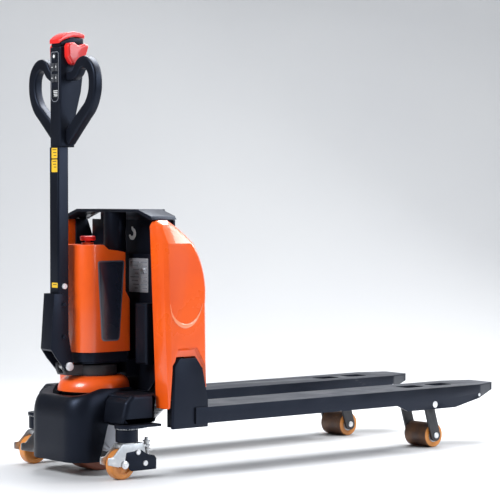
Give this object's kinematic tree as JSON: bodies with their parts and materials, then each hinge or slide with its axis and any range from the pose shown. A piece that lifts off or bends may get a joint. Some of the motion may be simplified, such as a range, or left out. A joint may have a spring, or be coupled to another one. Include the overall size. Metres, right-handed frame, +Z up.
{
  "type": "electric pallet truck",
  "caption": "Walk-behind powered pallet truck with two lifting forks, a steered drive wheel under a tiller, swivel casters and an upright battery.",
  "frame": {"origin": "centre of the footprint on the floor", "axes": "+X from the tiller towards the fork tips, +Y to the left when facing the fork tips, +Z up"},
  "size_m": [1.505, 0.56, 1.225],
  "materials": {
    "orange_gloss": "gloss orange paint with light orange peel",
    "orange_moulding": "glossy orange moulding",
    "black_moulding": "satin black grained moulding",
    "black_paint": "satin black paint",
    "fork_paint": "grey paint, scuffed on top",
    "tread": "reddish-brown polyurethane",
    "caster_tread": "amber polyurethane",
    "zinc": "zinc plated",
    "steel": "bright machined steel",
    "chrome_rod": "hard chrome",
    "cast": "dark painted casting",
    "motor": "grey cast housing",
    "red_moulding": "red moulding",
    "grey_key": "light grey key top",
    "shoe": "natural plastic"
  },
  "bodies": {
    "chassis": {"chassis_frame": "black_paint", "chassis_mast": "black_paint", "drive_cover": "black_moulding", "steering_bearing": "steel", "chassis_bolts": "zinc", "lift_cylinder": "black_paint", "battery_cradle": "black_moulding", "pump_unit": "motor", "controller_box": "motor", "caster_mounts": "black_moulding", "battery_case": "orange_moulding"},
    "steering": {"steering_head": "cast", "hood": "orange_moulding", "gearbox": "cast", "drive_motor": "motor", "tiller_pin": "zinc", "return_spring": "steel"},
    "drive_wheel": {"drive_hub": "cast", "drive_tyre": "tread"},
    "tiller": {"tiller_bracket": "black_paint", "tiller_tube": "black_paint", "tiller_head": "black_moulding", "tiller_bolts": "zinc", "control_panel": "black_moulding", "grip_left": "black_moulding", "grip_right": "black_moulding"},
    "throttle": {"throttle": "red_moulding"},
    "belly_button": {"belly_button": "red_moulding"},
    "horn_button": {"horn_button": "grey_key"},
    "lift_button": {"lift_button": "grey_key"},
    "lower_button": {"lower_button": "grey_key"},
    "creep_button": {"creep_button": "grey_key"},
    "power_button": {"power_button": "grey_key"},
    "emergency_stop": {"emergency_stop": "red_moulding"},
    "carriage": {"back_plate": "black_paint", "top_bracket": "black_paint", "ram_shroud": "black_paint", "lift_rod": "chrome_rod", "guide_shoes": "shoe", "heel_plates": "black_paint", "side_cover_left": "orange_gloss", "side_cover_right": "orange_gloss", "fork_left": "fork_paint", "fork_right": "fork_paint", "fork_pins": "steel"},
    "crank": {"torsion_crank": "steel"},
    "rocker_left": {"rocker_left": "cast"},
    "push_rod_left": {"push_rod_left": "steel"},
    "load_wheel_left": {"load_hub_left": "steel", "load_tyre_left": "tread"},
    "entry_roller_left": {"entry_roller_left": "caster_tread"},
    "caster_left": {"caster_fork_left": "zinc"},
    "caster_wheel_left": {"caster_wheel_left": "caster_tread"},
    "rocker_right": {"rocker_right": "cast"},
    "push_rod_right": {"push_rod_right": "steel"},
    "load_wheel_right": {"load_hub_right": "steel", "load_tyre_right": "tread"},
    "entry_roller_right": {"entry_roller_right": "caster_tread"},
    "caster_right": {"caster_fork_right": "zinc"},
    "caster_wheel_right": {"caster_wheel_right": "caster_tread"}
  },
  "joints": [
    {"name": "steer", "type": "hinge", "parent": "chassis", "child": "steering", "pos_m": [-0.5875, 0, 0.227], "axis": [0, 0, 1], "range_deg": [-90, 90]},
    {"name": "drive_wheel_spin", "type": "hinge", "parent": "steering", "child": "drive_wheel", "pos_m": [-0.5875, 0, 0.105], "axis": [0, 1, 0], "continuous": true},
    {"name": "tiller_tilt", "type": "hinge", "parent": "steering", "child": "tiller", "pos_m": [-0.6935, 0, 0.297], "axis": [0, -1, 0], "range_deg": [0, 78], "stiffness_Nm_per_rad": 30, "springref_deg": -17.19},
    {"name": "throttle_turn", "type": "hinge", "parent": "tiller", "child": "throttle", "pos_m": [-0.6695, 0, 1.163], "axis": [0, 1, 0], "range_deg": [-35, 35], "stiffness_Nm_per_rad": 1},
    {"name": "belly_press", "type": "slide", "parent": "tiller", "child": "belly_button", "axis": [0, 0, -1], "range_m": [0, 0.008], "stiffness_N_per_m": 1500, "springref_m": -0.002},
    {"name": "emergency_press", "type": "slide", "parent": "chassis", "child": "emergency_stop", "axis": [0, 0, -1], "range_m": [0, 0.004]},
    {"name": "carriage_lift", "type": "slide", "parent": "chassis", "child": "carriage", "axis": [0, 0, 1], "range_m": [-0.106, 0]},
    {"name": "crank_swing", "type": "hinge", "parent": "carriage", "child": "crank", "pos_m": [-0.4595, 0, 0.19], "axis": [0, 1, 0], "range_deg": [0, 77.22]},
    {"name": "horn_press", "type": "slide", "parent": "tiller", "child": "horn_button", "axis": [1, 0, 0], "range_m": [0, 0.002], "stiffness_N_per_m": 300, "springref_m": -0.001},
    {"name": "lift_press", "type": "slide", "parent": "tiller", "child": "lift_button", "axis": [1, 0, 0], "range_m": [0, 0.002], "stiffness_N_per_m": 300, "springref_m": -0.001},
    {"name": "lower_press", "type": "slide", "parent": "tiller", "child": "lower_button", "axis": [1, 0, 0], "range_m": [0, 0.002], "stiffness_N_per_m": 300, "springref_m": -0.001},
    {"name": "creep_press", "type": "slide", "parent": "tiller", "child": "creep_button", "axis": [1, 0, 0], "range_m": [0, 0.002], "stiffness_N_per_m": 300, "springref_m": -0.001},
    {"name": "power_press", "type": "slide", "parent": "tiller", "child": "power_button", "axis": [1, 0, 0], "range_m": [0, 0.002], "stiffness_N_per_m": 300, "springref_m": -0.001},
    {"name": "rocker_left_swing", "type": "hinge", "parent": "carriage", "child": "rocker_left", "pos_m": [0.4725, 0.196, 0.136], "axis": [0, 1, 0], "range_deg": [-77.22, 0]},
    {"name": "push_rod_left_swing", "type": "hinge", "parent": "crank", "child": "push_rod_left", "pos_m": [-0.44206, 0.196, 0.16809], "axis": [0, 1, 0], "range_deg": [-77.22, 0]},
    {"name": "load_wheel_left_spin", "type": "hinge", "parent": "rocker_left", "child": "load_wheel_left", "pos_m": [0.5025, 0.196, 0.037], "axis": [0, 1, 0], "continuous": true},
    {"name": "entry_roller_left_spin", "type": "hinge", "parent": "carriage", "child": "entry_roller_left", "pos_m": [0.6625, 0.196, 0.154], "axis": [0, 1, 0], "continuous": true},
    {"name": "caster_left_swivel", "type": "hinge", "parent": "chassis", "child": "caster_left", "pos_m": [-0.6325, 0.216, 0.11], "axis": [0, 0, 1], "continuous": true},
    {"name": "caster_wheel_left_spin", "type": "hinge", "parent": "caster_left", "child": "caster_wheel_left", "pos_m": [-0.6545, 0.216, 0.041], "axis": [0, 1, 0], "continuous": true},
    {"name": "rocker_right_swing", "type": "hinge", "parent": "carriage", "child": "rocker_right", "pos_m": [0.4725, -0.196, 0.136], "axis": [0, 1, 0], "range_deg": [-77.22, 0]},
    {"name": "push_rod_right_swing", "type": "hinge", "parent": "crank", "child": "push_rod_right", "pos_m": [-0.44206, -0.196, 0.16809], "axis": [0, 1, 0], "range_deg": [-77.22, 0]},
    {"name": "load_wheel_right_spin", "type": "hinge", "parent": "rocker_right", "child": "load_wheel_right", "pos_m": [0.5025, -0.196, 0.037], "axis": [0, 1, 0], "continuous": true},
    {"name": "entry_roller_right_spin", "type": "hinge", "parent": "carriage", "child": "entry_roller_right", "pos_m": [0.6625, -0.196, 0.154], "axis": [0, 1, 0], "continuous": true},
    {"name": "caster_right_swivel", "type": "hinge", "parent": "chassis", "child": "caster_right", "pos_m": [-0.6325, -0.216, 0.11], "axis": [0, 0, 1], "continuous": true},
    {"name": "caster_wheel_right_spin", "type": "hinge", "parent": "caster_right", "child": "caster_wheel_right", "pos_m": [-0.6545, -0.216, 0.041], "axis": [0, 1, 0], "continuous": true}
  ],
  "couplings": [
    {"joint": "crank_swing", "follows": "carriage_lift", "rad_per_m": -12.682},
    {"joint": "rocker_left_swing", "follows": "carriage_lift", "rad_per_m": 12.682},
    {"joint": "push_rod_left_swing", "follows": "carriage_lift", "rad_per_m": 12.682},
    {"joint": "rocker_right_swing", "follows": "carriage_lift", "rad_per_m": 12.682},
    {"joint": "push_rod_right_swing", "follows": "carriage_lift", "rad_per_m": 12.682}
  ]
}
